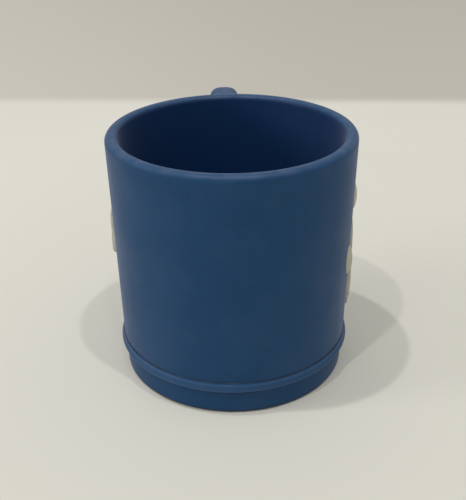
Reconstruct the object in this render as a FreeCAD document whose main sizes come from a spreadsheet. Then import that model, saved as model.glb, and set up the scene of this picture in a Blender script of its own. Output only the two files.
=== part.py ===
import FreeCAD, Part
import math
import os
import re

import Sketcher

# A mug-shaped paw washer: a tapered cup with a closed handle ring, a bristled insert that lifts out, and a
# base that unscrews for cleaning.  Z is the cup's axis, z = 0 is the face it rests on, and the handle points
# along +Y.  All lengths are in millimetres.

SIZES = [
    ("cup_height", 92.6, "rim above the rest face"),
    ("rim_radius", 45.0, "outside of the cup at the rim"),
    ("wall", 4.7, "thickness of the cup's wall"),
    ("taper", 0.022, "radius lost for each millimetre below the rim, inside and out"),
    ("rim_outer_round", 2.1, "rounding of the rim's outer edge"),
    ("rim_inner_round", 1.9, "rounding of the rim's inner edge"),
    ("band_rise", 3.3, "height of the flared band at the cup's lower end"),
    ("band_lip", 0.8, "height of the upright lip under the flare"),
    ("band_step", 0.3, "how far the band's upper edge stands out of the wall"),
    ("band_flare", 1.15, "how far the band's lip stands out of the wall"),
    ("foot_height", 9.6, "seat of the gasket above the rest face"),
    ("foot_inset", 0.75, "how far the foot stands inside the wall above it"),
    ("foot_round", 0.9, "rounding of the foot's lower edge"),
    ("foot_lift", 0.3, "foot ring above the rest face, which the foot pad touches"),
    ("seal_depth", 0.8, "thickness of the gasket between base and cup"),
    ("seal_inset", 0.7, "how far the gasket stands inside the foot"),
    ("seal_gap", 0.3, "gap between the gasket and the spigot"),
    ("spigot_rise", 9.4, "height of the base's spigot above the gasket seat"),
    ("spigot_wall", 2.6, "thickness of the spigot"),
    ("spigot_gap", 0.1, "how much smaller the spigot is than the bore above it"),
    ("spigot_headroom", 0.4, "gap between the spigot's top and the shoulder over it"),
    ("floor_depth", 3.0, "thickness of the base's floor"),
    ("floor_round", 1.5, "rounding between the floor and the spigot"),
    ("pad_depth", 1.5, "thickness of the foot pad"),
    ("pad_border", 2.95, "width of the foot ring round the foot pad"),
    ("pad_gap", 0.3, "gap between the foot pad and its recess"),
    ("pad_round", 0.4, "rounding of the foot pad's lower edge"),
    ("thread_lead", 18.0, "fall of the base in one full turn"),
    ("thread_starts", 3, "thread ribs on the base, and on the cup"),
    ("rib_arc", 45.0, "degrees that each thread rib goes round"),
    ("rib_depth", 1.3, "how far each thread rib stands out"),
    ("rib_rise", 1.6, "thickness of each thread rib along the axis"),
    ("rib_gap", 0.3, "gap round the tip of each thread rib"),
    ("rib_slack", 0.2, "gap between the base's ribs and the cup's ribs under them"),
    ("rib_start", 1.5, "middle of the cup's ribs above its lower face, where they begin"),
    ("sleeve_height", 37.0, "height of the brush insert's sleeve"),
    ("sleeve_wall", 2.4, "thickness of the sleeve"),
    ("sleeve_gap", 0.35, "gap between the sleeve and the bore"),
    ("key_height", 30.0, "height of the two keys that stop the sleeve turning"),
    ("key_width", 3.0, "width of each key"),
    ("key_depth", 1.3, "how far each key stands into the bore"),
    ("key_gap", 0.3, "gap between each key and its groove"),
    ("bristle_rows", 6, "rows of bristles"),
    ("bristle_count", 24, "bristles in each row"),
    ("bristle_length", 13.9, "length of each bristle"),
    ("bristle_root", 3.2, "diameter of each bristle where it starts"),
    ("bristle_tip", 1.8, "diameter of each bristle near its tip"),
    ("bristle_margin", 4.0, "first and last rows from the sleeve's ends"),
    ("handle_width", 11.6, "handle across X"),
    ("handle_depth", 10.0, "thickness of the handle in its own plane"),
    ("handle_reach", 31.0, "outside of the grip from the wall"),
    ("handle_drop", 0.4, "top of the handle below the rim"),
    ("handle_foot", 27.0, "underside of the handle above the rest face"),
    ("handle_edge", 4.4, "rounding along the handle's edges"),
    ("handle_upper_bend", 25.0, "outside radius of the handle's upper bend"),
    ("handle_lower_bend", 28.0, "outside radius of the handle's lower bend"),
    ("relief_rise", 1.0, "how far the badges stand out of the wall"),
    ("relief_sink", 0.8, "how deep the badges sit in the wall"),
    ("relief_edge", 0.5, "rounding round the face of each flat badge"),
    ("paw_height", 37.0, "middle of the paw's main pad above the rest face"),
    ("paw_offset", 4.2, "paw's middle along the wall, from +X towards the handle"),
    ("paw_pad_width", 33.0, "width of the paw's main pad"),
    ("paw_pad_height", 37.2, "height of the paw's main pad"),
    ("toe_width", 9.2, "width of each toe"),
    ("outer_toe_length", 13.8, "length of each outer toe"),
    ("outer_toe_across", 17.7, "middle of each outer toe from the paw's middle line"),
    ("outer_toe_up", 8.6, "middle of each outer toe above the main pad's middle"),
    ("outer_toe_lean", 20.0, "degrees that each outer toe leans outwards"),
    ("inner_toe_length", 12.4, "length of each inner toe"),
    ("inner_toe_across", 7.1, "middle of each inner toe from the paw's middle line"),
    ("inner_toe_up", 30.0, "middle of each inner toe above the main pad's middle"),
    ("inner_toe_lean", 8.0, "degrees that each inner toe leans outwards"),
    ("bone_height", 48.3, "middle of the bone above the rest face"),
    ("bone_offset", 18.4, "bone's middle along the wall, from -X towards the handle"),
    ("bone_tilt", 18.0, "degrees that the bone's front end is raised"),
    ("bone_length", 42.0, "length of the bone"),
    ("bone_knob", 4.9, "radius of each of the bone's four knobs"),
    ("bone_spread", 3.75, "each knob from the bone's middle line"),
    ("bone_shank", 3.4, "half of the bone's width between its knobs"),
]

# The main pad's right half from top to bottom, as shares of its half width and of its height.
PAD_HALF_OUTLINE = [
    (0.0, 0.553),
    (0.255, 0.52),
    (0.436, 0.42),
    (0.53, 0.283),
    (0.64, 0.148),
    (0.81, 0.035),
    (0.958, -0.049),
    (1.0, -0.135),
    (0.93, -0.215),
    (0.78, -0.262),
    (0.63, -0.315),
    (0.55, -0.4),
    (0.37, -0.468),
    (0.0, -0.49),
]

DOC = FreeCAD.newDocument("PawWasherCup")
SHEET = DOC.addObject("Spreadsheet::Sheet", "Sizes")
for row, (alias, number, meaning) in enumerate(SIZES, start=1):
    SHEET.set(f"A{row}", meaning)
    SHEET.set(f"B{row}", str(number))
    SHEET.setAlias(f"B{row}", alias)
DOC.recompute()

NAMES = {alias for alias, number, meaning in SIZES}
WORD = re.compile(r"[a-z]\w*")


def bound(text):
    """An expression in which each size's name points at its cell."""
    return WORD.sub(lambda word: f"Sizes.{word[0]}" if word[0] in NAMES else word[0], str(text))


def value(text):
    """What such an expression comes to."""
    return float(SHEET.evalExpression(bound(text)))


# Places that several pieces share, as expressions.
SEAM = "(foot_height + seal_depth)"
SPIGOT_TOP = "(foot_height + spigot_rise)"
SHOULDER = f"({SPIGOT_TOP} + spigot_headroom)"
FLOOR = "(pad_depth + floor_depth)"


def wall_at(height):
    """Radius of the cup's outside at a height."""
    return f"(rim_radius - taper * (cup_height - {height}))"


def bore_at(height):
    """Radius of the cup's bore at a height."""
    return f"({wall_at(height)} - wall)"


FOOT = f"({wall_at(SEAM)} - foot_inset)"
SPIGOT = f"({bore_at(SHOULDER)} - spigot_gap)"
SOCKET = f"({SPIGOT} + rib_depth + rib_gap)"
KEY_FACE = f"({bore_at(SHOULDER)} - key_depth)"
SLEEVE_INSIDE = f"({bore_at(SHOULDER)} - sleeve_gap - sleeve_wall)"
SLEEVE_TOP = f"({SPIGOT_TOP} + sleeve_height)"
BAND_TOP = f"({SEAM} + band_rise)"


def new_body(name):
    body = DOC.addObject("PartDesign::Body", name)
    body.Label = name
    body.AllowCompound = True
    return body


def origin_part(body, role):
    """One of the body's own origin planes or axes."""
    return next(part for part in body.Origin.OriginFeatures if part.Role == role)


def bind(feature, **expressions):
    for name, text in expressions.items():
        feature.setExpression(name, bound(text))


def new_sketch(body, name, plane):
    sketch = body.newObject("Sketcher::SketchObject", name)
    sketch.AttachmentSupport = [(origin_part(body, plane), "")]
    sketch.MapMode = "FlatFace"
    return sketch


def place_corner(sketch, side, kind, text):
    """Ties one corner to its distance from the sketch's origin, or to the axis where that distance is 0."""
    if value(text) == 0:
        axis = -2 if kind == "DistanceX" else -1
        sketch.addConstraint(Sketcher.Constraint("PointOnObject", side, 1, axis))
        return
    index = sketch.addConstraint(Sketcher.Constraint(kind, -1, 1, side, 1, value(text)))
    sketch.setExpression(f"Constraints[{index}]", bound(text))


def straight_sketch(body, name, plane, corners):
    """A closed outline of straight sides whose corners stand at pairs of expressions."""
    sketch = new_sketch(body, name, plane)
    points = [FreeCAD.Vector(value(across), value(up), 0) for across, up in corners]
    for start, end in zip(points, points[1:] + points[:1]):
        sketch.addGeometry(Part.LineSegment(start, end))
    for side in range(len(points)):
        sketch.addConstraint(Sketcher.Constraint("Coincident", side, 2, (side + 1) % len(points), 1))
    for side, (across, up) in enumerate(corners):
        place_corner(sketch, side, "DistanceX", across)
        place_corner(sketch, side, "DistanceY", up)
    return sketch


def smooth_sketch(body, name, plane, points):
    """A closed smooth outline through the points."""
    sketch = new_sketch(body, name, plane)
    curve = Part.BSplineCurve()
    curve.interpolate([FreeCAD.Vector(across, up, 0) for across, up in points], PeriodicFlag=True)
    sketch.addGeometry(curve)
    return sketch


def turned(body, kind, name, corners):
    """A Revolution or a Groove round the body's Z axis."""
    sketch = straight_sketch(body, f"{name}_outline", "XZ_Plane", corners)
    feature = body.newObject(f"PartDesign::{kind}", name)
    feature.Profile = sketch
    feature.ReferenceAxis = (sketch, ["V_Axis"])
    feature.Angle = 360.0
    DOC.recompute()
    return feature


def rounded(body, name, radius, picks):
    """A Fillet on the edges of the body that picks() accepts."""
    base = body.Tip
    edges = [f"Edge{index}" for index, edge in enumerate(base.Shape.Edges, start=1) if picks(edge)]
    if not edges:
        raise RuntimeError(f"{name} found no edge")
    feature = body.newObject("PartDesign::Fillet", name)
    feature.Base = (base, edges)
    bind(feature, Radius=radius)
    DOC.recompute()
    return feature


def ring_edge(radius, height):
    """Picks the circle of a radius at a height."""
    wanted_radius = value(radius)
    wanted_height = value(height)

    def picks(edge):
        spot = edge.valueAt(edge.FirstParameter)
        off_axis = abs(math.hypot(spot.x, spot.y) - wanted_radius)
        off_height = abs(spot.z - wanted_height) + edge.BoundBox.ZLength
        return off_axis < 0.01 and off_height < 0.01

    return picks


def polar(body, name, feature, count):
    """Repeats a feature evenly round the Z axis."""
    pattern = body.newObject("PartDesign::PolarPattern", name)
    pattern.Originals = [feature]
    pattern.Axis = (origin_part(body, "Z_Axis"), [""])
    pattern.Angle = 360.0
    bind(pattern, Occurrences=count)
    body.Tip = pattern
    DOC.recompute()
    return pattern


def thread_ribs(body, name, inside, outside, middle):
    """Short helical ribs, one for each start, that rise as they go round anticlockwise from above."""
    low = f"({middle} - rib_rise / 2)"
    high = f"({middle} + rib_rise / 2)"
    corners = [(inside, low), (outside, low), (outside, high), (inside, high)]
    sketch = straight_sketch(body, f"{name}_outline", "XZ_Plane", corners)
    rib = body.newObject("PartDesign::AdditiveHelix", name)
    rib.Profile = sketch
    rib.ReferenceAxis = (sketch, ["V_Axis"])
    rib.Mode = 0
    bind(rib, Pitch="thread_lead", Height="thread_lead * rib_arc / 360")
    DOC.recompute()
    return polar(body, f"{name}_pattern", rib, "thread_starts")


def base_cap():
    """The foot, floor and spigot, turned in one piece, with the male thread ribs."""
    body = new_body("base_cap")
    recess = f"({FOOT} - pad_border)"
    inside = f"({SPIGOT} - spigot_wall)"
    corners = [
        ("0", "pad_depth"),
        (recess, "pad_depth"),
        (recess, "foot_lift"),
        (FOOT, "foot_lift"),
        (FOOT, "foot_height"),
        (SPIGOT, "foot_height"),
        (SPIGOT, SPIGOT_TOP),
        (inside, SPIGOT_TOP),
        (inside, FLOOR),
        ("0", FLOOR),
    ]
    turned(body, "Revolution", "base_turning", corners)
    rounded(body, "foot_rounding", "foot_round", ring_edge(FOOT, "foot_lift"))
    rounded(body, "floor_rounding", "floor_round", ring_edge(inside, FLOOR))
    rib_middle = f"({SEAM} + rib_start + rib_rise + rib_slack)"
    thread_ribs(body, "base_rib", f"({SPIGOT} - rib_depth)", f"({SPIGOT} + rib_depth)", rib_middle)
    return body


def foot_pad():
    """The non-slip disc that the cup stands on."""
    body = new_body("foot_pad")
    radius = f"({FOOT} - pad_border - pad_gap)"
    corners = [("0", "0"), (radius, "0"), (radius, "pad_depth"), ("0", "pad_depth")]
    turned(body, "Revolution", "foot_pad_turning", corners)
    rounded(body, "foot_pad_rounding", "pad_round", ring_edge(radius, "0"))
    return body


def base_seal():
    """The flat gasket between the base and the cup."""
    body = new_body("base_seal")
    inside = f"({SPIGOT} + seal_gap)"
    outside = f"({FOOT} - seal_inset)"
    corners = [(inside, "foot_height"), (outside, "foot_height"), (outside, SEAM), (inside, SEAM)]
    turned(body, "Revolution", "seal_turning", corners)
    return body


def cup_blank():
    """The cup's wall, band and socket, with the female thread ribs and keys, before the badge recesses."""
    body = new_body("cup_blank")
    lip = f"({wall_at(SEAM)} + band_flare)"
    lip_top = f"({SEAM} + band_lip)"
    band_edge = f"({wall_at(BAND_TOP)} + band_step)"
    wall_start = f"({BAND_TOP} + band_step)"
    corners = [
        (SOCKET, SEAM),
        (lip, SEAM),
        (lip, lip_top),
        (band_edge, BAND_TOP),
        (wall_at(wall_start), wall_start),
        ("rim_radius", "cup_height"),
        ("rim_radius - wall", "cup_height"),
        (bore_at(SHOULDER), SHOULDER),
        (SOCKET, SHOULDER),
    ]
    turned(body, "Revolution", "cup_turning", corners)
    rounded(body, "lip_rounding", "band_lip * 0.4", ring_edge(lip, SEAM))
    outer_round = "min(rim_outer_round; wall * 0.48)"
    inner_round = "min(rim_inner_round; wall * 0.48)"
    rounded(body, "rim_outer_rounding", outer_round, ring_edge("rim_radius", "cup_height"))
    rounded(body, "rim_inner_rounding", inner_round, ring_edge("rim_radius - wall", "cup_height"))
    thread_ribs(body, "cup_rib", f"({SPIGOT} + rib_gap)", f"({SOCKET} + rib_depth)", f"({SEAM} + rib_start)")
    cup_keys(body)
    return body


def cup_keys(body):
    """Two upright keys on the bore, at +X and -X."""
    root = f"({bore_at(SHOULDER)} + wall / 2)"
    top = f"({SHOULDER} + key_height)"
    key_outline = [(KEY_FACE, SHOULDER), (root, SHOULDER), (root, top), (KEY_FACE, top)]
    sketch = straight_sketch(body, "key_outline", "XZ_Plane", key_outline)
    key = body.newObject("PartDesign::Pad", "key")
    key.Profile = sketch
    key.SideType = "Symmetric"
    bind(key, Length="key_width")
    DOC.recompute()
    polar(body, "key_pattern", key, "2")


def brush_sleeve():
    """The insert's sleeve, which stands on the spigot and slides up out of the bore."""
    body = new_body("brush_sleeve")
    foot_radius = f"({bore_at(SPIGOT_TOP)} - sleeve_gap)"
    head_radius = f"({bore_at(SLEEVE_TOP)} - sleeve_gap)"
    corners = [
        (SLEEVE_INSIDE, SPIGOT_TOP),
        (foot_radius, SPIGOT_TOP),
        (head_radius, SLEEVE_TOP),
        (SLEEVE_INSIDE, SLEEVE_TOP),
    ]
    turned(body, "Revolution", "sleeve_turning", corners)
    inner = f"({KEY_FACE} - key_gap)"
    outer = f"({head_radius} + key_gap)"
    groove_outline = [(inner, SPIGOT_TOP), (outer, SPIGOT_TOP), (outer, SLEEVE_TOP), (inner, SLEEVE_TOP)]
    sketch = straight_sketch(body, "key_groove_outline", "XZ_Plane", groove_outline)
    groove = body.newObject("PartDesign::Pocket", "key_groove")
    groove.Profile = sketch
    groove.SideType = "Symmetric"
    bind(groove, Length="key_width + 2 * key_gap")
    DOC.recompute()
    polar(body, "key_groove_pattern", groove, "2")
    return body


def bristle_row(number):
    """One row of bristles, which point inwards; every other row is turned by half a space."""
    name = f"bristle_row_{number}"
    body = new_body(name)
    pitch = "(sleeve_height - 2 * bristle_margin) / (bristle_rows - 1)"
    middle = f"({SPIGOT_TOP} + bristle_margin + {number - 1} * {pitch})"
    seat = f"sqrt({SLEEVE_INSIDE} ^ 2 - (bristle_root / 2) ^ 2)"
    end = f"({seat} - bristle_length)"
    corners = [
        (end, middle),
        (seat, middle),
        (seat, f"{middle} + bristle_root / 2"),
        (f"{end} + bristle_tip / 4", f"{middle} + bristle_tip / 2"),
        (end, f"{middle} + bristle_tip / 4"),
    ]
    sketch = straight_sketch(body, f"{name}_outline", "XZ_Plane", corners)
    bristle = body.newObject("PartDesign::Revolution", f"{name}_bristle")
    bristle.Profile = sketch
    bristle.ReferenceAxis = (sketch, ["Edge1"])
    bristle.Angle = 360.0
    DOC.recompute()
    polar(body, f"{name}_pattern", bristle, "bristle_count")
    half_space = value("180 / bristle_count") * (number % 2)
    body.Placement = FreeCAD.Placement(FreeCAD.Vector(), FreeCAD.Rotation(half_space, 0, 0))
    DOC.recompute()
    return body


def handle():
    """A rounded ring from below the rim to the lower wall, cut off where it meets the wall."""
    body = new_body("handle")
    top = "(cup_height - handle_drop)"
    gap_top = f"({top} - handle_depth)"
    gap_foot = "(handle_foot + handle_depth)"
    outside = "(rim_radius + handle_reach)"
    inside = f"({outside} - handle_depth)"
    root = "(rim_radius - wall)"
    corners = [
        (root, "handle_foot"),
        (outside, "handle_foot"),
        (outside, top),
        (root, top),
        (root, gap_top),
        (inside, gap_top),
        (inside, gap_foot),
        (root, gap_foot),
    ]
    sketch = straight_sketch(body, "handle_outline", "YZ_Plane", corners)
    pad = body.newObject("PartDesign::Pad", "handle_pad")
    pad.Profile = sketch
    pad.SideType = "Symmetric"
    bind(pad, Length="handle_width")
    DOC.recompute()
    for name, radius, across, up in [
        ("upper_bend", "handle_upper_bend", outside, top),
        ("upper_inner_bend", "handle_upper_bend - handle_depth", inside, gap_top),
        ("lower_bend", "handle_lower_bend", outside, "handle_foot"),
        ("lower_inner_bend", "handle_lower_bend - handle_depth", inside, gap_foot),
    ]:
        rounded(body, name, radius, corner_edge(across, up))
    side = value("handle_width / 2")
    root_line = value(root)
    rounded(
        body,
        "handle_edges",
        "min(handle_edge; handle_width * 0.45; handle_depth * 0.45)",
        lambda edge: abs(abs(edge.CenterOfMass.x) - side) < 0.001 and edge.CenterOfMass.y > root_line + 0.1,
    )
    cut = [("0", "0"), (wall_at("0"), "0"), ("rim_radius", "cup_height"), ("0", "cup_height")]
    turned(body, "Groove", "handle_wall_cut", cut)
    return body


def corner_edge(across, up):
    """Picks the edge along X at a place in the YZ plane."""
    wanted = FreeCAD.Vector(0, value(across), value(up))

    def picks(edge):
        middle = edge.CenterOfMass
        return (middle - wanted).Length < 0.01 and edge.BoundBox.XLength > 1

    return picks


def trimmed_to_wall(body, name):
    """Cuts a badge to the layer between its recess in the wall and its face."""
    floor_cut = [
        ("0", "0"),
        (f"{wall_at('0')} - relief_sink", "0"),
        ("rim_radius - relief_sink", "cup_height"),
        ("0", "cup_height"),
    ]
    turned(body, "Groove", f"{name}_floor", floor_cut)
    far = "2 * rim_radius"
    face_cut = [
        (f"{wall_at('0')} + relief_rise", "0"),
        (far, "0"),
        (far, "cup_height"),
        ("rim_radius + relief_rise", "cup_height"),
    ]
    turned(body, "Groove", f"{name}_face", face_cut)


def on_wall(along, height):
    """Across and up in the plane of a badge's sketch, for a place along the wall."""
    radius = value(wall_at(height))
    return radius * math.sin(along / radius), height


def flat_badge(name, points, turn):
    """A badge whose outline is cut straight into the wall, with a rounded face edge."""
    body = new_body(name)
    sketch = smooth_sketch(body, f"{name}_outline", "YZ_Plane", points)
    pad = body.newObject("PartDesign::Pad", f"{name}_pad")
    pad.Profile = sketch
    bind(pad, Length="rim_radius * 1.2")
    DOC.recompute()
    trimmed_to_wall(body, name)
    face_radius = value("rim_radius + relief_rise")
    slope = value("taper")
    rim = value("cup_height")

    def on_face(edge):
        for share in (0.1, 0.5, 0.9):
            spot = edge.valueAt(edge.FirstParameter + share * (edge.LastParameter - edge.FirstParameter))
            if abs(math.hypot(spot.x, spot.y) - face_radius + slope * (rim - spot.z)) >= 0.02:
                return False
        return True

    rounded(body, f"{name}_rounding", "relief_edge", on_face)
    body.Placement = FreeCAD.Placement(FreeCAD.Vector(), FreeCAD.Rotation(turn, 0, 0))
    return body


def paw_pad():
    """The paw's main pad: a narrow top lobe over three wide ones."""
    half_width = value("paw_pad_width / 2")
    height = value("paw_pad_height")
    left_half = [(-across, up) for across, up in PAD_HALF_OUTLINE[-2:0:-1]]
    points = []
    for across, up in PAD_HALF_OUTLINE + left_half:
        along = value("paw_offset") + across * half_width
        points.append(on_wall(along, value("paw_height") + up * height))
    return flat_badge("paw_pad", points, 0.0)


def paw_toe(number, kind, side):
    """One toe, a domed oval. Kind is outer or inner, side is -1 for the front or 1 for the handle's side."""
    name = f"paw_toe_{number}"
    body = new_body(name)
    along = value(f"paw_offset + {side} * {kind}_toe_across")
    height = value(f"paw_height + {kind}_toe_up")
    radius = value(wall_at(height))
    dome = DOC.addObject("PartDesign::AdditiveEllipsoid", f"{name}_dome")
    body.addObject(dome)
    bind(dome, Radius1=f"{kind}_toe_length / 2", Radius2="relief_rise + relief_sink", Radius3="toe_width / 2")
    dome.Angle1 = -90.0
    dome.Angle2 = 90.0
    dome.Angle3 = 360.0
    spot = FreeCAD.Vector(radius - value("relief_sink"), 0, height)
    lean = side * value(f"{kind}_toe_lean")
    dome.Placement = FreeCAD.Placement(spot, FreeCAD.Rotation(FreeCAD.Vector(1, 0, 0), -lean))
    body.Tip = dome
    DOC.recompute()
    trimmed_to_wall(body, name)
    body.Placement = FreeCAD.Placement(FreeCAD.Vector(), FreeCAD.Rotation(math.degrees(along / radius), 0, 0))
    return body


def bone_badge():
    """A plain bone that lies round the wall opposite the paw."""
    end = value("bone_length / 2 - bone_knob")
    knob = value("bone_knob")
    spread = value("bone_spread")
    shank = value("bone_shank")
    quarter = [(0.0, shank), (0.5 * (end - knob), shank), (end - knob, shank)]
    for degrees in (150, 110, 70, 30, -10, -40):
        angle = math.radians(degrees)
        quarter.append((end + knob * math.cos(angle), spread + knob * math.sin(angle)))
    lower = [(across, -up) for across, up in reversed(quarter[1:])]
    right = quarter + lower + [(0.0, -shank)]
    left = [(-across, up) for across, up in reversed(right[1:-1])]
    tilt = math.radians(value("bone_tilt"))
    height = value("bone_height")
    points = []
    for across, up in right + left:
        along = across * math.cos(tilt) - up * math.sin(tilt)
        points.append(on_wall(along, height + across * math.sin(tilt) + up * math.cos(tilt)))
    turn = 180.0 - math.degrees(value("bone_offset") / value(wall_at(height)))
    return flat_badge("bone_badge", points, turn)


def badge_recesses(blank, badges):
    """The cup with a recess for each badge."""
    tool = DOC.addObject("Part::Compound", "badge_tool")
    tool.Links = badges
    cup = DOC.addObject("Part::Cut", "cup_body")
    cup.Label = "cup_body"
    cup.Base = blank
    cup.Tool = tool
    return cup


def checked(parts):
    """Raises if any object of the document failed, or any part's shape is empty or invalid."""
    for item in DOC.Objects:
        if "Invalid" in item.State or "Error" in item.State:
            raise RuntimeError(f"{item.Name} failed: {item.State}")
    for part in parts:
        if part.Shape.isNull() or not part.Shape.isValid() or not part.Shape.Solids:
            raise RuntimeError(f"{part.Label} has no valid shape")


badges = [paw_pad()]
toes = [("outer", -1), ("inner", -1), ("inner", 1), ("outer", 1)]
badges += [paw_toe(number, kind, side) for number, (kind, side) in enumerate(toes, start=1)]
badges.append(bone_badge())
parts = badges + [badge_recesses(cup_blank(), badges), handle()]
parts += [base_seal(), base_cap(), foot_pad(), brush_sleeve()]
parts += [bristle_row(number) for number in range(1, int(value("bristle_rows")) + 1)]
DOC.recompute()
checked(parts)

os.makedirs("parts", exist_ok=True)
for part in parts:
    part.Shape.exportStep(os.path.join("parts", f"{part.Label}.step"))
    print(f"{part.Label}: {len(part.Shape.Solids)} solids, {part.Shape.Volume:.1f} mm3")
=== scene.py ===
import math
import random

import bmesh
import bpy
from mathutils import Euler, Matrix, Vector
from mathutils.kdtree import KDTree


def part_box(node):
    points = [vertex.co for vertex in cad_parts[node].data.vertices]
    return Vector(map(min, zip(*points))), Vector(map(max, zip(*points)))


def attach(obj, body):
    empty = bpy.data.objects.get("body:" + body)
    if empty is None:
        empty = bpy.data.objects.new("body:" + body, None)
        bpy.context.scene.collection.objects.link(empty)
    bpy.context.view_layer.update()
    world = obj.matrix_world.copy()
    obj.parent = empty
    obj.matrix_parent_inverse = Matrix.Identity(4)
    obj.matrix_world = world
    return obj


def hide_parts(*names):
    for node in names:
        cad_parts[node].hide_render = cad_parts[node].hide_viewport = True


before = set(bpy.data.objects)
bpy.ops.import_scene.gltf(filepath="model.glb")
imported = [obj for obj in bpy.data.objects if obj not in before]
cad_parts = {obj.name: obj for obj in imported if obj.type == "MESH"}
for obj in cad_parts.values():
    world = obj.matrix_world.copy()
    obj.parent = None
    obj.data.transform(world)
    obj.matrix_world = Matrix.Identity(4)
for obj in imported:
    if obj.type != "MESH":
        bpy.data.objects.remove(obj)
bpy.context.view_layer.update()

bl_info = {
    "name": "Paw Washer Cup",
    "version": (1, 0, 0),
    "blender": (4, 5, 0),
    "location": "3D View > Sidebar > Paw Washer",
    "description": "Finishes and modelled pieces of a mug-shaped paw washer with a bristled insert",
    "category": "Object",
}

MM = 0.001
DUST_ON_COATING = (0.42, 0.45, 0.50)
DUST_ON_RUBBER = (0.45, 0.45, 0.45)
SHEEN_TINT = (0.66, 0.68, 0.88, 1.0)
LAMP_COLOUR = (1.0, 0.985, 0.96)
FLOOR_HALF_WIDTH = 3.0
ROOM_COLOUR = (0.98, 0.98, 0.96, 1.0)


# ---------------------------------------------------------------------------------------------------------
# Settings
# ---------------------------------------------------------------------------------------------------------

def colour_property(name, description, default):
    return bpy.props.FloatVectorProperty(
        name=name, description=description, default=default, min=0.0, max=1.0, size=3, subtype="COLOR"
    )


def length_property(name, description, default):
    return bpy.props.FloatProperty(
        name=name, description=description, default=default, subtype="DISTANCE", unit="LENGTH", precision=5
    )


def factor_property(name, description, default):
    return bpy.props.FloatProperty(
        name=name, description=description, default=default, min=0.0, max=1.0, subtype="FACTOR"
    )


class PawWasherFinish(bpy.types.PropertyGroup):
    """Colours and surface texture."""

    shell_colour: colour_property("Shell", "Soft-touch coating of the cup and base", (0.004, 0.0495, 0.138))
    # painted shade: this darker colour stands for the shade inside the cup, not a different coating
    bore_shade_colour: colour_property("Bore", "Coating inside the cup", (0.001, 0.029, 0.110))
    badge_colour: colour_property("Badges", "Moulded paw and bone badges", (0.495, 0.500, 0.405))
    silicone_colour: colour_property("Insert", "Silicone sleeve and bristles", (0.030, 0.095, 0.210))
    rubber_colour: colour_property("Rubber", "Gasket and foot pad", (0.014, 0.024, 0.040))
    shell_grain: length_property("Shell grain", "Size of the coating's grain", 0.35 * MM)
    rubber_grain: length_property("Rubber grain", "Size of the rubber's grain", 0.50 * MM)
    handling: factor_property("Handling", "How much hands have changed the coating's tone", 0.35)
    dust: factor_property("Dust", "How much fine dust lies on upward faces", 0.12)


class PawWasherShape(bpy.types.PropertyGroup):
    """Sizes of the modelled pieces."""

    handle_depth: length_property("Handle depth", "Thickness of the handle in its own plane", 10.0 * MM)
    upper_bend: length_property("Upper bend", "Outside radius of the handle's upper bend", 25.0 * MM)
    lower_bend: length_property("Lower bend", "Outside radius of the handle's lower bend", 28.0 * MM)
    root_fillet: length_property("Root fillet", "Fillet where the handle grows out of the wall", 3.0 * MM)
    badge_lift: length_property("Badge lift", "How far a badge's whole face is raised", 0.20 * MM)
    badge_crown: length_property("Badge crown", "How far a badge's middle swells", 0.25 * MM)
    badge_grid: length_property("Badge grid", "Fineness of a badge's remeshed surface", 0.21 * MM)
    badge_rim: length_property("Badge edge", "Width over which a badge swells from its edge", 6.0 * MM)
    bristle_bend: length_property("Bristle bend", "Largest stray of a bristle's tip", 0.9 * MM)
    tread_depth: length_property("Tread depth", "Depth of the grooves under the foot pad", 0.45 * MM)
    tread_pitch: length_property("Tread pitch", "Distance between those grooves", 5.0 * MM)
    wall: length_property("Wall", "Thickness of the cup's wall at the rim", 4.7 * MM)
    band_height: length_property("Band height", "Height of the band round the cup's foot", 3.3 * MM)


class PawWasherStage(bpy.types.PropertyGroup):
    """Floor, light and camera."""

    floor_colour: colour_property("Floor", "Pale table top", (0.868, 0.852, 0.772))
    backdrop_colour: colour_property("Backdrop", "Wall behind the table", (0.600, 0.573, 0.505))
    backdrop_fade: factor_property("Backdrop fade", "How much the wall darkens towards the right", 0.15)
    floor_behind: length_property("Floor behind", "Table top behind the cup's axis", 0.351)
    floor_soft: length_property("Floor's soft edge", "Width over which the far edge fades", 0.024)
    floor_turn: bpy.props.FloatProperty(
        name="Floor turn", description="Turn of the table's far edge", default=math.radians(-5.8),
        subtype="ANGLE", unit="ROTATION",
    )
    room_light: factor_property("Room light", "Strength of the even light from all round", 0.43)
    camera_distance: length_property("Camera distance", "Level distance from the cup's axis", 0.2747)
    camera_height: length_property("Camera height", "Height above the table top", 0.1867)
    camera_turn: bpy.props.FloatProperty(
        name="Camera turn", description="Bearing of the view from the handle", default=math.radians(-3.1),
        subtype="ANGLE", unit="ROTATION",
    )
    camera_tilt: bpy.props.FloatProperty(
        name="Camera tilt", description="Tilt below level", default=math.radians(27.41),
        subtype="ANGLE", unit="ROTATION",
    )
    camera_roll: bpy.props.FloatProperty(
        name="Camera roll", description="Turn about the line of sight", default=math.radians(-0.658),
        subtype="ANGLE", unit="ROTATION",
    )
    lens: bpy.props.FloatProperty(
        name="Lens", description="Focal length on a 36 mm sensor", default=58.3, unit="CAMERA"
    )


# ---------------------------------------------------------------------------------------------------------
# Shader groups
# ---------------------------------------------------------------------------------------------------------

def new_group(name, inputs, outputs):
    """An empty shader group with named number sockets, and its two end nodes."""
    group = bpy.data.node_groups.new(name, "ShaderNodeTree")
    for socket, default in inputs:
        made = group.interface.new_socket(socket, in_out="INPUT", socket_type="NodeSocketFloat")
        made.default_value = default
    for socket in outputs:
        group.interface.new_socket(socket, in_out="OUTPUT", socket_type="NodeSocketFloat")
    return group, group.nodes.new("NodeGroupInput"), group.nodes.new("NodeGroupOutput")


def add(tree, kind, **settings):
    """A new node with some of its settings changed."""
    node = tree.nodes.new(kind)
    for name, setting in settings.items():
        setattr(node, name, setting)
    return node


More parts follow.
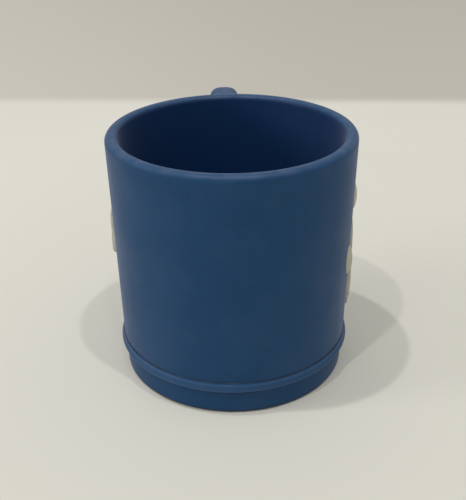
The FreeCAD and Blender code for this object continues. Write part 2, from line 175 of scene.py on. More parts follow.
def math_node(tree, operation, first, second=None, clamp=False):
    """A Math node fed by sockets or numbers."""
    node = add(tree, "ShaderNodeMath", operation=operation, use_clamp=clamp)
    for index, source in enumerate((first, second)):
        if isinstance(source, (int, float)):
            node.inputs[index].default_value = source
        elif source is not None:
            tree.links.new(source, node.inputs[index])
    return node.outputs[0]


def object_place(tree):
    return tree.nodes.new("ShaderNodeTexCoord").outputs["Object"]


def noise(tree, place, scale, detail, roughness=0.5):
    """A Noise Texture's value; scale is a number or a socket."""
    node = add(tree, "ShaderNodeTexNoise")
    tree.links.new(place, node.inputs["Vector"])
    node.inputs["Detail"].default_value = detail
    node.inputs["Roughness"].default_value = roughness
    if isinstance(scale, (int, float)):
        node.inputs["Scale"].default_value = scale
    else:
        tree.links.new(scale, node.inputs["Scale"])
    return node.outputs["Fac"]


def remap(tree, source, low, high, to_low=0.0, to_high=1.0):
    """A clamped Map Range from low..high to to_low..to_high."""
    node = add(tree, "ShaderNodeMapRange", interpolation_type="SMOOTHSTEP")
    tree.links.new(source, node.inputs["Value"])
    for socket, number in (("From Min", low), ("From Max", high), ("To Min", to_low), ("To Max", to_high)):
        if isinstance(number, (int, float)):
            node.inputs[socket].default_value = number
        else:
            tree.links.new(number, node.inputs[socket])
    return node.outputs["Result"]


def fine_grain_group():
    """Close grain of a coating or moulding: a height, and a tone that drifts with it."""
    group, start, end = new_group("fine_grain", [("Grains per Metre", 2800.0)], ["Height", "Tone"])
    place = object_place(group)
    close = noise(group, place, start.outputs["Grains per Metre"], 2.0, 0.6)
    broad_scale = math_node(group, "MULTIPLY", start.outputs["Grains per Metre"], 0.17)
    broad = noise(group, place, broad_scale, 3.0, 0.55)
    broad_share = math_node(group, "MULTIPLY", broad, 0.6)
    group.links.new(math_node(group, "ADD", close, broad_share), end.inputs["Height"])
    group.links.new(remap(group, broad, 0.35, 0.65), end.inputs["Tone"])
    return group


def handling_group():
    """Soft cloudy patches where hands have rubbed a coating."""
    group, start, end = new_group("handling", [("Patches per Metre", 45.0), ("Amount", 0.3)], ["Mask"])
    place = object_place(group)
    cloud = noise(group, place, start.outputs["Patches per Metre"], 4.0, 0.6)
    patches = remap(group, cloud, 0.42, 0.68)
    group.links.new(math_node(group, "MULTIPLY", patches, start.outputs["Amount"]), end.inputs["Mask"])
    return group


def dust_group():
    """Fine dust and a few specks on faces that look up."""
    group, start, end = new_group("settled_dust", [("Amount", 0.1)], ["Mask"])
    place = object_place(group)
    geometry = group.nodes.new("ShaderNodeNewGeometry")
    split = group.nodes.new("ShaderNodeSeparateXYZ")
    group.links.new(geometry.outputs["Normal"], split.inputs[0])
    upward = remap(group, split.outputs["Z"], 0.1, 0.9)
    haze = remap(group, noise(group, place, 160.0, 5.0, 0.65), 0.4, 0.75, 0.0, 0.55)
    specks = remap(group, noise(group, place, 1500.0, 1.0), 0.74, 0.78)
    both = math_node(group, "ADD", haze, specks)
    lying = math_node(group, "MULTIPLY", both, upward)
    amount = math_node(group, "MULTIPLY", lying, start.outputs["Amount"], clamp=True)
    group.links.new(amount, end.inputs["Mask"])
    return group


def edge_rub_and_highlight_group():
    """A band round the Z axis between two heights, broken up as rubbing wears it; it carries real rubbing
    wear and a painted highlight.
    """
    inputs = [("Low", 0.0), ("High", 1.0), ("Amount", 0.3)]
    group, start, end = new_group("edge_rub_and_highlight", inputs, ["Mask"])
    place = object_place(group)
    split = group.nodes.new("ShaderNodeSeparateXYZ")
    group.links.new(place, split.inputs[0])
    band = remap(group, split.outputs["Z"], start.outputs["Low"], start.outputs["High"])
    broken = remap(group, noise(group, place, 260.0, 5.0, 0.7), 0.38, 0.66, 0.6, 1.0)
    wear_and_painted_light = math_node(group, "MULTIPLY", band, broken)
    group.links.new(math_node(group, "MULTIPLY", wear_and_painted_light, start.outputs["Amount"]), end.inputs["Mask"])
    return group


def light_shade_line_group():
    """A soft line round the Z axis at one height, lighter or darker: a painted highlight on an edge or
    painted shade in a crevice.
    """
    group, start, end = new_group("light_shade_line", [("Height", 0.0), ("Half Width", 1.0)], ["Mask"])
    place = object_place(group)
    split = group.nodes.new("ShaderNodeSeparateXYZ")
    group.links.new(place, split.inputs[0])
    away = math_node(group, "SUBTRACT", split.outputs["Z"], start.outputs["Height"])
    gap = math_node(group, "ABSOLUTE", away)
    line = remap(group, gap, 0.0, start.outputs["Half Width"], 1.0, 0.0)
    broken = remap(group, noise(group, place, 200.0, 4.0, 0.65), 0.25, 0.55, 0.6, 1.0)
    group.links.new(math_node(group, "MULTIPLY", line, broken), end.inputs["Mask"])
    return group


def bore_shade_mask_group():
    """The inside of the cup, where painted shade goes: where the distance from the Z axis is under the
    bore's radius.
    """
    group, start, end = new_group("bore", [("Radius", 1.0), ("Soft", 0.1)], ["Mask"])
    split = group.nodes.new("ShaderNodeSeparateXYZ")
    group.links.new(object_place(group), split.inputs[0])
    across = math_node(group, "MULTIPLY", split.outputs["X"], split.outputs["X"])
    along = math_node(group, "MULTIPLY", split.outputs["Y"], split.outputs["Y"])
    reach = math_node(group, "SQRT", math_node(group, "ADD", across, along))
    outer = math_node(group, "ADD", start.outputs["Radius"], start.outputs["Soft"])
    group.links.new(remap(group, reach, start.outputs["Radius"], outer, 1.0, 0.0), end.inputs["Mask"])
    return group


GROUP_MAKERS = {
    "fine_grain": fine_grain_group,
    "handling": handling_group,
    "settled_dust": dust_group,
    "edge_rub_and_highlight": edge_rub_and_highlight_group,
    "light_shade_line": light_shade_line_group,
    "bore": bore_shade_mask_group,
}


def place_group(tree, name, **numbers):
    """One of the shared groups in a material, with that material's own values."""
    node = tree.nodes.new("ShaderNodeGroup")
    node.node_tree = bpy.data.node_groups.get(name) or GROUP_MAKERS[name]()
    for socket, number in numbers.items():
        node.inputs[socket.replace("_", " ")].default_value = number
    return node


# ---------------------------------------------------------------------------------------------------------
# Materials
# ---------------------------------------------------------------------------------------------------------

def new_material(name):
    """A material with only a Principled BSDF, and that shader."""
    material = bpy.data.materials.new(name)
    material.use_nodes = True
    material.node_tree.nodes.clear()
    shader = material.node_tree.nodes.new("ShaderNodeBsdfPrincipled")
    output = material.node_tree.nodes.new("ShaderNodeOutputMaterial")
    material.node_tree.links.new(shader.outputs[0], output.inputs[0])
    return material, shader


def shift(colour, factor, grey=0.0):
    """A colour made lighter or darker by a factor, and moved towards its own grey."""
    middle = sum(colour) / 3
    return [min(1.0, (part + (middle - part) * grey) * factor) for part in colour]


def blend_colour(tree, mask, base, over):
    """Mixes a base colour or socket towards another colour by a mask."""
    node = add(tree, "ShaderNodeMix", data_type="RGBA")
    tree.links.new(mask, node.inputs["Factor"])
    if isinstance(base, bpy.types.NodeSocket):
        tree.links.new(base, node.inputs["A"])
    else:
        node.inputs["A"].default_value = (*base, 1.0)
    node.inputs["B"].default_value = (*over, 1.0)
    return node.outputs["Result"]


def bump(tree, height, distance, strength, shader):
    node = tree.nodes.new("ShaderNodeBump")
    node.inputs["Distance"].default_value = distance
    node.inputs["Strength"].default_value = strength
    tree.links.new(height, node.inputs["Height"])
    tree.links.new(node.outputs["Normal"], shader.inputs["Normal"])


def soft_touch(name, finish, rub_highlight_low, rub_highlight_high, light_and_shade_lines=(), bore_radius=0.0):
    """Matte soft-touch coating: close grain, cloudy handling marks, a little dust, and an upper edge made
    lighter by real rubbing wear plus a painted highlight.

    Each of the light and shade lines is (height, half width, tone): a painted highlight or painted shade
    round the Z axis. The bore is darker: painted shade.
    """
    material, shader = new_material(name)
    tree = material.node_tree
    colour = finish.shell_colour[:]
    grain = place_group(tree, "fine_grain", Grains_per_Metre=1.0 / finish.shell_grain)
    marks = place_group(tree, "handling", Patches_per_Metre=48.0, Amount=finish.handling)
    dust = place_group(tree, "settled_dust", Amount=finish.dust)
    rub_and_highlight = place_group(tree, "edge_rub_and_highlight", Low=rub_highlight_low, High=rub_highlight_high, Amount=0.46)
    toned = blend_colour(tree, grain.outputs["Tone"], shift(colour, 0.93), shift(colour, 1.07))
    handled = blend_colour(tree, marks.outputs["Mask"], toned, shift(colour, 1.22, 0.12))
    # lighter upper edge: real rubbing wear plus a painted highlight
    wear_and_painted_light = blend_colour(tree, rub_and_highlight.outputs["Mask"], handled, shift(colour, 1.75, 0.2))
    # painted highlights and painted shade in lines round the Z axis
    for height, half_width, tone in light_and_shade_lines:
        line = place_group(tree, "light_shade_line", Height=height, Half_Width=half_width)
        wear_and_painted_light = blend_colour(tree, line.outputs["Mask"], wear_and_painted_light, shift(colour, tone, 0.2))
    # painted shade: the bore is darker inside
    if bore_radius > 0:
        bore = place_group(tree, "bore", Radius=bore_radius, Soft=0.9 * MM)
        wear_and_painted_light = blend_colour(tree, bore.outputs["Mask"], wear_and_painted_light, finish.bore_shade_colour[:])
    dusted = blend_colour(tree, dust.outputs["Mask"], wear_and_painted_light, DUST_ON_COATING)
    tree.links.new(dusted, shader.inputs["Base Color"])
    tree.links.new(rub_and_highlight.outputs["Mask"], shader.inputs["Coat Weight"])
    shader.inputs["Coat Roughness"].default_value = 0.42
    drift = math_node(tree, "MULTIPLY", grain.outputs["Tone"], 0.06)
    polished = math_node(tree, "MULTIPLY", marks.outputs["Mask"], -0.18)
    level = math_node(tree, "ADD", math_node(tree, "ADD", drift, polished), 0.64)
    tree.links.new(level, shader.inputs["Roughness"])
    shader.inputs["Specular IOR Level"].default_value = 0.28
    shader.inputs["Sheen Weight"].default_value = 0.26
    shader.inputs["Sheen Roughness"].default_value = 0.36
    shader.inputs["Sheen Tint"].default_value = SHEEN_TINT
    bump(tree, grain.outputs["Height"], 0.03 * MM, 0.55, shader)
    return material


def moulded_rubber(name, colour, grain_size, roughness, mottle):
    """Matte moulded rubber with a fine grain and slow mottling."""
    material, shader = new_material(name)
    tree = material.node_tree
    grain = place_group(tree, "fine_grain", Grains_per_Metre=1.0 / grain_size)
    marks = place_group(tree, "handling", Patches_per_Metre=85.0, Amount=mottle)
    dust = place_group(tree, "settled_dust", Amount=0.10)
    toned = blend_colour(tree, grain.outputs["Tone"], shift(colour, 0.95), shift(colour, 1.04))
    marked = blend_colour(tree, marks.outputs["Mask"], toned, shift(colour, 0.78, 0.1))
    dusted = blend_colour(tree, dust.outputs["Mask"], marked, DUST_ON_RUBBER)
    tree.links.new(dusted, shader.inputs["Base Color"])
    drift = math_node(tree, "MULTIPLY", grain.outputs["Tone"], 0.08)
    tree.links.new(math_node(tree, "ADD", drift, roughness), shader.inputs["Roughness"])
    shader.inputs["Specular IOR Level"].default_value = 0.38
    shader.inputs["Sheen Weight"].default_value = 0.08
    bump(tree, grain.outputs["Height"], 0.04 * MM, 0.5, shader)
    return material


def silicone(name, colour):
    """Satin silicone, a little translucent, with faint mould drag."""
    material, shader = new_material(name)
    tree = material.node_tree
    grain = place_group(tree, "fine_grain", Grains_per_Metre=1600.0)
    marks = place_group(tree, "handling", Patches_per_Metre=120.0, Amount=0.4)
    toned = blend_colour(tree, grain.outputs["Tone"], shift(colour, 0.94), shift(colour, 1.05))
    milky = blend_colour(tree, marks.outputs["Mask"], toned, shift(colour, 1.25, 0.25))
    tree.links.new(milky, shader.inputs["Base Color"])
    drift = math_node(tree, "MULTIPLY", marks.outputs["Mask"], 0.22)
    tree.links.new(math_node(tree, "ADD", drift, 0.38), shader.inputs["Roughness"])
    shader.inputs["Specular IOR Level"].default_value = 0.45
    shader.inputs["Subsurface Weight"].default_value = 0.12
    shader.inputs["Subsurface Radius"].default_value = (0.4, 0.7, 1.0)
    shader.inputs["Subsurface Scale"].default_value = 0.8 * MM
    shader.inputs["Coat Weight"].default_value = 0.06
    bump(tree, grain.outputs["Height"], 0.02 * MM, 0.4, shader)
    return material


def table_top(name, colour, soft_edge):
    """Pale painted board with a barely visible tone. Its far edge, at its own Y = 0, fades out."""
    material, shader = new_material(name)
    tree = material.node_tree
    place = object_place(tree)
    split = tree.nodes.new("ShaderNodeSeparateXYZ")
    tree.links.new(place, split.inputs[0])
    tree.links.new(remap(tree, split.outputs["Y"], -soft_edge, 0.0, 1.0, 0.0), shader.inputs["Alpha"])
    cloud = remap(tree, noise(tree, place, 6.0, 4.0), 0.35, 0.65)
    toned = blend_colour(tree, cloud, shift(colour, 0.985), shift(colour, 1.01))
    # painted shade: the table top darkens towards the front
    front_shade = remap(tree, split.outputs["Y"], -0.55, -0.02, 0.7, 0.0)
    tree.links.new(blend_colour(tree, front_shade, toned, shift(colour, 0.86)), shader.inputs["Base Color"])
    shader.inputs["Roughness"].default_value = 0.55
    shader.inputs["Specular IOR Level"].default_value = 0.25
    return material


def dress(node, material):
    """Gives a frame node its finish."""
    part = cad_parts[node]
    part.data.materials.clear()
    part.data.materials.append(material)
    return part


# ---------------------------------------------------------------------------------------------------------
# Mesh helpers
# ---------------------------------------------------------------------------------------------------------

def mesh_piece(name, vertices, faces, material):
    """A new smooth mesh object in the row's frame."""
    mesh = bpy.data.meshes.new(name)
    mesh.from_pydata(vertices, [], faces)
    mesh.validate()
    shell = bmesh.new()
    shell.from_mesh(mesh)
    bmesh.ops.recalc_face_normals(shell, faces=shell.faces)
    shell.to_mesh(mesh)
    shell.free()
    mesh.shade_smooth()
    mesh.materials.append(material)
    piece = bpy.data.objects.new(name, mesh)
    bpy.context.scene.collection.objects.link(piece)
    return piece


def tube_faces(rings, count, first=0):
    """Side faces of a tube whose rings have count points each; first is its first point's number."""
    faces = []
    for ring in range(rings - 1):
        for step in range(count):
            after = (step + 1) % count
            low = first + ring * count
            faces.append((low + step, low + after, low + count + after, low + count + step))
    return faces


def turned_piece(name, profile, material, segments=180):
    """A closed solid turned round the Z axis from (radius, height) corners; the ends lie on the axis."""
    vertices = []
    for radius, height in profile[1:-1]:
        for step in range(segments):
            angle = math.tau * step / segments
            vertices.append((radius * math.cos(angle), radius * math.sin(angle), height))
    rings = len(profile) - 2
    faces = tube_faces(rings, segments)
    for ring, (radius, height) in ((0, profile[0]), (rings - 1, profile[-1])):
        vertices.append((0.0, 0.0, height))
        centre = len(vertices) - 1
        low = ring * segments
        faces += [(low + step, low + (step + 1) % segments, centre) for step in range(segments)]
    return mesh_piece(name, vertices, faces, material)


# ---------------------------------------------------------------------------------------------------------
# Pieces
# ---------------------------------------------------------------------------------------------------------

class PAWWASHER_OT_cup(bpy.types.Operator):
    """Give the cup its soft-touch coating"""

    bl_idname = "paw_washer.cup"
    bl_label = "Cup"

    def execute(self, context):
        finish = context.scene.paw_washer_finish
        shape = context.scene.paw_washer_shape
        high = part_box("cup_body")[1]
        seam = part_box("base_seal")[1].z
        lip = seam + shape.band_height
        # painted highlight along the band's upper edge, painted shade in the crease just above the band,
        # and two painted highlights along the band's lower edge
        light_and_shade_lines = [
            (lip - 0.8 * MM, 1.0 * MM, 1.75),
            (lip + 0.15 * MM, 0.55 * MM, 0.40),
            (seam + 1.0 * MM, 1.8 * MM, 1.25),
            (seam + 0.2 * MM, 0.5 * MM, 2.10),
        ]
        bore = high.x - shape.wall
        # the rim's lighter top is real rubbing wear plus a painted highlight; the bore gets painted shade
        coating = soft_touch("soft_touch_cup", finish, high.z - 1.6 * MM, high.z - 0.2 * MM, light_and_shade_lines, bore)
        dress("cup_body", coating)
        return {"FINISHED"}


def handle_line(shape, step=1.0 * MM):
    """The handle's middle line in its own plane as (y, z, direction), from the upper to the lower root."""
    low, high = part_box("handle")
    half = shape.handle_depth / 2
    upper = shape.upper_bend - half
    lower = shape.lower_bend - half
    root = low.y - 1.2 * MM
    grip = high.y - half
    top = high.z - half
    foot = low.z + half
    line = []

    def straight(y0, z0, y1, z1):
        count = max(1, round(math.hypot(y1 - y0, z1 - z0) / step))
        direction = math.atan2(z1 - z0, y1 - y0)
        for index in range(count):
            share = index / count
            line.append((y0 + (y1 - y0) * share, z0 + (z1 - z0) * share, direction))

    def bend(y, z, radius, start):
        count = max(2, round(radius * math.pi / 2 / step))
        for index in range(count):
            angle = start - math.pi / 2 * index / count
            along = y + radius * math.cos(angle)
            up = z + radius * math.sin(angle)
            line.append((along, up, angle - math.pi / 2))

    straight(root, top, grip - upper, top)
    bend(grip - upper, top - upper, upper, math.pi / 2)
    straight(grip, top - upper, grip, foot + lower)
    bend(grip - lower, foot + lower, lower, 0.0)
    straight(grip - lower, foot, root, foot)
    line.append((root, foot, math.pi))
    return line


def handle_section(half_width, half_depth, count=40, squareness=2.7):
    """A rounded oblong: across the handle, then out from its middle line."""
    points = []
    for index in range(count):
        angle = math.tau * index / count
        across = math.copysign(abs(math.cos(angle)) ** (2 / squareness), math.cos(angle))
        out = math.copysign(abs(math.sin(angle)) ** (2 / squareness), math.sin(angle))
        points.append((across * half_width, out * half_depth))
    return points


class PAWWASHER_OT_handle(bpy.types.Operator):
    """Model the handle as one smooth sweep with filleted roots"""

    bl_idname = "paw_washer.handle"
    bl_label = "Handle"

    def execute(self, context):
        shape = context.scene.paw_washer_shape
        finish = context.scene.paw_washer_finish
        low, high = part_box("handle")
        wall_top, wall_foot = self.wall_reach()
        section = handle_section((high.x - low.x) / 2, shape.handle_depth / 2)
        line = handle_line(shape)
        vertices = []
        for index, (y, z, direction) in enumerate(line):
            upper_run = index < len(line) / 2
            wall = wall_top if upper_run else wall_foot
            flare = self.flare(y - wall, shape.root_fillet)
            out_y = -math.sin(direction)
            out_z = math.cos(direction)
            for across, out in section:
                widen = 1.0 + flare / ((high.x - low.x) / 2)
                deepen = 1.0 + flare / (shape.handle_depth / 2)
                if upper_run and out > 0:
                    deepen = 1.0
                vertices.append((across * widen, y + out * deepen * out_y, z + out * deepen * out_z))
        faces = tube_faces(len(line), len(section))
        faces.append(tuple(range(len(section))))
        faces.append(tuple(range(len(vertices) - len(section), len(vertices))))
        # the handle's lighter top is real rubbing wear plus a painted highlight
        coating = soft_touch("soft_touch_handle", finish, high.z - 1.5 * MM, high.z)
        piece = mesh_piece("handle_sweep", vertices, faces, coating)
        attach(piece, "cup")
        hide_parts("handle")
        return {"FINISHED"}

    @staticmethod
    def wall_reach():
        """Where the wall's face crosses the handle's plane at the upper and lower roots."""
        cup_low, cup_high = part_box("cup_body")
        reach = [math.hypot(vertex.co.x, vertex.co.y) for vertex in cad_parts["handle"].data.vertices]
        nearest = min(reach)
        rim = max(abs(cup_high.y), abs(cup_low.y))
        return rim - 0.1 * MM, nearest + 0.1 * MM

    @staticmethod
    def flare(distance, radius):
        """Extra half width of a round fillet at a distance from the wall."""
        if distance >= radius:
            return 0.0
        inside = max(0.0, distance) / radius
        return radius * (1.0 - math.sqrt(1.0 - (1.0 - inside) ** 2)) * 0.8


class PAWWASHER_OT_badges(bpy.types.Operator):
    """Swell the badges like soft moulded rubber"""

    bl_idname = "paw_washer.badges"
    bl_label = "Badges"

    SOFTENING = 3

    def execute(self, context):
        shape = context.scene.paw_washer_shape
        finish = context.scene.paw_washer_finish
        cream = moulded_rubber("badge_rubber", finish.badge_colour[:], finish.rubber_grain, 0.62, 0.35)
        for node in sorted(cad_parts):
            if node.startswith("paw_") or node == "bone_badge":
                self.swell(node, shape, cream)
        return {"FINISHED"}

    @staticmethod
    def swell(node, shape, material):
        """A remeshed, softened copy of a badge whose face rises towards its middle."""
        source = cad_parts[node]
        copy = bpy.data.objects.new(f"{node}_soft", source.data.copy())
        bpy.context.scene.collection.objects.link(copy)
        grid = copy.modifiers.new("grid", "REMESH")
        grid.mode = "VOXEL"
        grid.voxel_size = shape.badge_grid
        soften = copy.modifiers.new("soften", "SMOOTH")
        soften.factor = 0.5
        soften.iterations = PAWWASHER_OT_badges.SOFTENING
        graph = bpy.context.evaluated_depsgraph_get()
        mesh = bpy.data.meshes.new_from_object(copy.evaluated_get(graph))
        copy.modifiers.clear()
        copy.data = mesh
        edge = outline_tree(source.data)
        for vertex in mesh.vertices:
            spot = vertex.co
            level = Vector((spot.x, spot.y, 0.0))
            if facing_out(vertex, level):
                share = min(1.0, edge.find(spot)[2] / shape.badge_rim)
                rise = shape.badge_lift + shape.badge_crown * math.sin(share * math.pi / 2)
                vertex.co = spot + level.normalized() * rise
        mesh.shade_smooth()
        mesh.materials.clear()
        mesh.materials.append(material)
        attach(copy, "cup")
        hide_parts(node)


def facing_out(vertex, level):
    return vertex.normal.dot(level) > 0.3 * level.length


def outline_tree(mesh):
    """Search tree of a badge's corners that lie on its side wall, where its outline runs."""
    corners = set()
    for face in mesh.polygons:
        level = Vector((face.center.x, face.center.y, 0.0))
        if level.length > 0 and abs(face.normal.dot(level.normalized())) < 0.55:
            corners.update(face.vertices)
    tree = KDTree(len(corners))
    for corner in corners:
        tree.insert(mesh.vertices[corner].co, corner)
    tree.balance()
    return tree


class PAWWASHER_OT_base(bpy.types.Operator):
    """Finish the screw-on base, its gasket and its treaded foot pad"""

    bl_idname = "paw_washer.base"
    bl_label = "Base"

    def execute(self, context):
        shape = context.scene.paw_washer_shape
        finish = context.scene.paw_washer_finish
        low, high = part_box("base_cap")
        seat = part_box("base_seal")[0].z
        # painted shade: a dark line along the foot's bottom edge at the table, and a painted shadow just
        # below the gasket under the band's overhang
        painted_shade_lines = [(low.z + 0.3 * MM, 1.2 * MM, 0.45), (seat - 0.4 * MM, 0.8 * MM, 0.45)]
        coating = soft_touch("soft_touch_base", finish, high.z + 1.0 * MM, high.z + 2.0 * MM, painted_shade_lines)
        dress("base_cap", coating)
        rubber = moulded_rubber("dark_rubber", finish.rubber_colour[:], finish.rubber_grain, 0.6, 0.3)
        dress("base_seal", rubber)
        self.foot_pad(shape, rubber)
        return {"FINISHED"}

    @staticmethod
    def foot_pad(shape, material):
        """The disc under the base with ring grooves round a flat middle."""
        low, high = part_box("foot_pad")
        radius = high.x
        corner = 0.4 * MM
        profile = [(0.0, low.z)]
        ring = 2.5 * shape.tread_pitch
        half = 0.16 * shape.tread_pitch
        while ring + half < radius - shape.tread_pitch / 2:
            floor = low.z + shape.tread_depth
            profile += [(ring - half, low.z), (ring - half * 0.6, floor), (ring + half * 0.6, floor)]
            profile.append((ring + half, low.z))
            ring += shape.tread_pitch
        profile.append((radius - corner, low.z))
        for index in range(1, 7):
            angle = math.pi / 2 * index / 6
            reach = radius - corner + corner * math.sin(angle)
            profile.append((reach, low.z + corner - corner * math.cos(angle)))
        profile += [(radius, high.z), (0.0, high.z)]
        piece = turned_piece("foot_pad_tread", profile, material)
        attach(piece, "base")
        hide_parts("foot_pad")


class PAWWASHER_OT_brush(bpy.types.Operator):
    """Finish the sleeve and model its soft bristles"""

    bl_idname = "paw_washer.brush"
    bl_label = "Bristled insert"

    BRISTLES = 24
    SIDES = 14
    SEED = 1000
    ROOT_SINK = 0.25 * MM

    def execute(self, context):
        finish = context.scene.paw_washer_finish
        shape = context.scene.paw_washer_shape
        material = silicone("insert_silicone", finish.silicone_colour[:])
        dress("brush_sleeve", material)
        rows = sorted(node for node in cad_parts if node.startswith("bristle_row_"))
        for row in rows:
            self.row(row, int(row.rsplit("_", 1)[1]), shape, material)
        return {"FINISHED"}

    def row(self, node, number, shape, material):
        """One row of bristles, each a little different in length, thickness and lean."""
        dice = random.Random(self.SEED + number)
        low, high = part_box(node)
        middle = (low.z + high.z) / 2
        root_radius = (high.z - low.z) / 2
        reach = [math.hypot(vertex.co.x, vertex.co.y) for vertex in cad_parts[node].data.vertices]
        seat = max(reach) + self.ROOT_SINK
        tip = min(reach)
        vertices = []
        faces = []
        turn = math.pi / self.BRISTLES * (number % 2)
        for index in range(self.BRISTLES):
            angle = math.tau * index / self.BRISTLES + turn
            lean = (dice.uniform(-1, 1) * shape.bristle_bend, -dice.uniform(0.3, 1) * shape.bristle_bend)
            length = (seat - tip) * dice.uniform(0.97, 1.0)
            thickness = root_radius * dice.uniform(0.95, 1.0)
            self.bristle(vertices, faces, angle, seat, middle, length, thickness, lean)
        piece = mesh_piece(f"{node}_soft", vertices, faces, material)
        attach(piece, "brush")
        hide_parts(node)

    def bristle(self, vertices, faces, angle, seat, middle, length, thickness, lean):
        """Adds one tapered bristle with a spread root, a round tip and a soft bend."""
        inward = Vector((-math.cos(angle), -math.sin(angle), 0.0))
        side = Vector((-math.sin(angle), math.cos(angle), 0.0))
        start = Vector((seat * math.cos(angle), seat * math.sin(angle), middle))
        tip_radius = thickness * 0.56
        stations = [0.0, 0.02, 0.05, 0.1, 0.2, 0.35, 0.5, 0.65, 0.8, 0.9]
        stations += [1.0 - tip_radius / length * (1 - math.sin(math.pi / 2 * cap / 5)) for cap in range(5)]
        first = len(vertices)
        for share in stations:
            radius = thickness + (tip_radius - thickness) * share
            radius *= 1.0 + 0.16 * math.exp(-share * length / (0.8 * MM))
            left = (1.0 - share) * length
            if left < tip_radius:
                radius *= math.sqrt(max(0.0, 1.0 - (1.0 - left / tip_radius) ** 2))
            bend = share * share
            centre = start + inward * (share * length) + side * (lean[0] * bend)
            centre += Vector((0, 0, lean[1] * bend))
            for step in range(self.SIDES):
                around = math.tau * step / self.SIDES
                vertices.append(centre + side * (radius * math.cos(around))
                                + Vector((0, 0, radius * math.sin(around))))
        faces += tube_faces(len(stations), self.SIDES, first)
        faces.append(tuple(range(first, first + self.SIDES)))
        end = start + inward * length + side * lean[0] + Vector((0, 0, lean[1]))
        vertices.append(end)
        last = first + (len(stations) - 1) * self.SIDES
        tip = len(vertices) - 1
        for step in range(self.SIDES):
            faces.append((last + step, last + (step + 1) % self.SIDES, tip))


# ---------------------------------------------------------------------------------------------------------
# Stage
# ---------------------------------------------------------------------------------------------------------

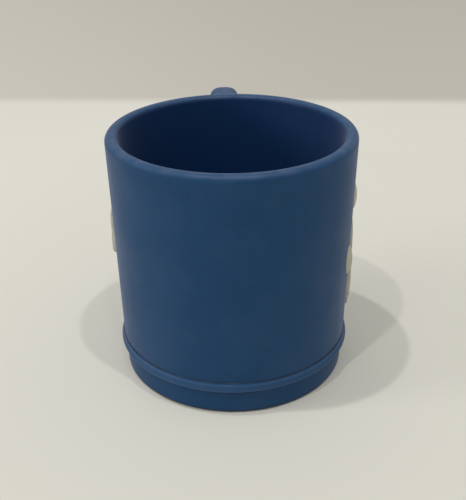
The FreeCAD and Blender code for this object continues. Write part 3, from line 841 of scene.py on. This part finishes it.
class PAWWASHER_OT_stage(bpy.types.Operator):
    """Set up the table top, the soft light and the camera"""

    bl_idname = "paw_washer.stage"
    bl_label = "Stage"

    def execute(self, context):
        stage = context.scene.paw_washer_stage
        self.floor(stage)
        self.lights()
        self.world(context.scene, stage)
        self.camera(context.scene, stage)
        context.scene.view_settings.view_transform = "Standard"
        return {"FINISHED"}

    @staticmethod
    def floor(stage):
        half = FLOOR_HALF_WIDTH
        corners = [(-half, -2 * half, 0.0), (half, -2 * half, 0.0), (half, 0.0, 0.0), (-half, 0.0, 0.0)]
        finish = table_top("pale_table", stage.floor_colour[:], stage.floor_soft)
        piece = mesh_piece("table_top", corners, [(0, 1, 2, 3)], finish)
        piece.location.y = stage.floor_behind
        piece.rotation_euler.z = stage.floor_turn

    @staticmethod
    def lights():
        """Ceiling lamps and a low window: name, bearing from +X, elevation, distance, size and power."""
        lamps = [
            ("lamp_right", -54.3, 72.5, 2.0, 0.06, 5.2),
            ("lamp_left", 189.9, 75.2, 2.0, 0.06, 6.4),
            ("lamp_front_left", 232.2, 61.9, 2.2, 0.06, 5.6),
            ("lamp_front", 282.0, 63.7, 2.2, 0.06, 1.4),
            ("window_left", 188.0, 18.0, 2.0, 0.60, 8.0),
        ]
        for name, bearing, elevation, distance, size, power in lamps:
            light = bpy.data.lights.new(name, "AREA")
            light.shape = "DISK"
            light.size = size
            light.energy = power
            light.color = LAMP_COLOUR
            lamp = bpy.data.objects.new(name, light)
            level = math.cos(math.radians(elevation)) * distance
            turn = math.radians(bearing)
            height = math.sin(math.radians(elevation)) * distance
            lamp.location = (level * math.cos(turn), level * math.sin(turn), height)
            lamp.rotation_euler = (-lamp.location).to_track_quat("-Z", "Y").to_euler()
            bpy.context.scene.collection.objects.link(lamp)

    @staticmethod
    def world(scene, stage):
        """Soft light from all round, and a plain wall where the camera sees past the table."""
        world = bpy.data.worlds.new("room")
        world.use_nodes = True
        tree = world.node_tree
        tree.nodes.clear()
        seen = tree.nodes.new("ShaderNodeBackground")
        seen.inputs["Color"].default_value = (*stage.backdrop_colour, 1.0)
        split = tree.nodes.new("ShaderNodeSeparateXYZ")
        tree.links.new(tree.nodes.new("ShaderNodeTexCoord").outputs["Generated"], split.inputs[0])
        across = remap(tree, split.outputs["X"], -0.36, 0.24, 1.0, 1.0 - stage.backdrop_fade)
        upward = remap(tree, split.outputs["Z"], -0.32, -0.10, 1.0, 0.90)
        tree.links.new(math_node(tree, "MULTIPLY", across, upward), seen.inputs["Strength"])
        soft = tree.nodes.new("ShaderNodeBackground")
        soft.inputs["Color"].default_value = ROOM_COLOUR
        soft.inputs["Strength"].default_value = stage.room_light
        path = tree.nodes.new("ShaderNodeLightPath")
        mix = tree.nodes.new("ShaderNodeMixShader")
        output = tree.nodes.new("ShaderNodeOutputWorld")
        tree.links.new(path.outputs["Is Camera Ray"], mix.inputs["Fac"])
        tree.links.new(soft.outputs[0], mix.inputs[1])
        tree.links.new(seen.outputs[0], mix.inputs[2])
        tree.links.new(mix.outputs[0], output.inputs["Surface"])
        scene.world = world

    @staticmethod
    def camera(scene, stage):
        data = bpy.data.cameras.new("camera")
        data.sensor_width = 36.0
        data.lens = stage.lens
        data.clip_start = 0.01
        camera = bpy.data.objects.new("camera", data)
        turn = stage.camera_turn
        away = stage.camera_distance
        camera.location = (math.sin(turn) * away, -math.cos(turn) * away, stage.camera_height)
        look = Euler((math.pi / 2 - stage.camera_tilt, 0.0, turn)).to_matrix()
        roll = Euler((0.0, 0.0, stage.camera_roll)).to_matrix()
        camera.rotation_euler = (look @ roll).to_euler()
        scene.collection.objects.link(camera)
        scene.camera = camera


# ---------------------------------------------------------------------------------------------------------
# Add-on
# ---------------------------------------------------------------------------------------------------------

class VIEW3D_PT_paw_washer(bpy.types.Panel):
    """Lists the operators and their settings"""

    bl_label = "Paw Washer"
    bl_idname = "VIEW3D_PT_paw_washer"
    bl_space_type = "VIEW_3D"
    bl_region_type = "UI"
    bl_category = "Paw Washer"

    def draw(self, context):
        for settings in ("paw_washer_shape", "paw_washer_finish", "paw_washer_stage"):
            box = self.layout.box()
            group = getattr(context.scene, settings)
            for name in group.__annotations__:
                box.prop(group, name)
        for operator in OPERATORS:
            self.layout.operator(operator.bl_idname)


OPERATORS = (
    PAWWASHER_OT_stage,
    PAWWASHER_OT_cup,
    PAWWASHER_OT_handle,
    PAWWASHER_OT_badges,
    PAWWASHER_OT_base,
    PAWWASHER_OT_brush,
)
SETTINGS = {
    "paw_washer_finish": PawWasherFinish,
    "paw_washer_shape": PawWasherShape,
    "paw_washer_stage": PawWasherStage,
}


def register():
    for group in SETTINGS.values():
        bpy.utils.register_class(group)
    for name, group in SETTINGS.items():
        setattr(bpy.types.Scene, name, bpy.props.PointerProperty(type=group))
    for operator in OPERATORS:
        bpy.utils.register_class(operator)
    bpy.utils.register_class(VIEW3D_PT_paw_washer)


def unregister():
    bpy.utils.unregister_class(VIEW3D_PT_paw_washer)
    for operator in reversed(OPERATORS):
        bpy.utils.unregister_class(operator)
    for name in SETTINGS:
        delattr(bpy.types.Scene, name)
    for group in reversed(SETTINGS.values()):
        bpy.utils.unregister_class(group)


def main():
    register()
    bpy.ops.paw_washer.stage()
    bpy.ops.paw_washer.cup()
    bpy.ops.paw_washer.handle()
    bpy.ops.paw_washer.badges()
    bpy.ops.paw_washer.base()
    bpy.ops.paw_washer.brush()


if __name__ == "__main__":
    main()
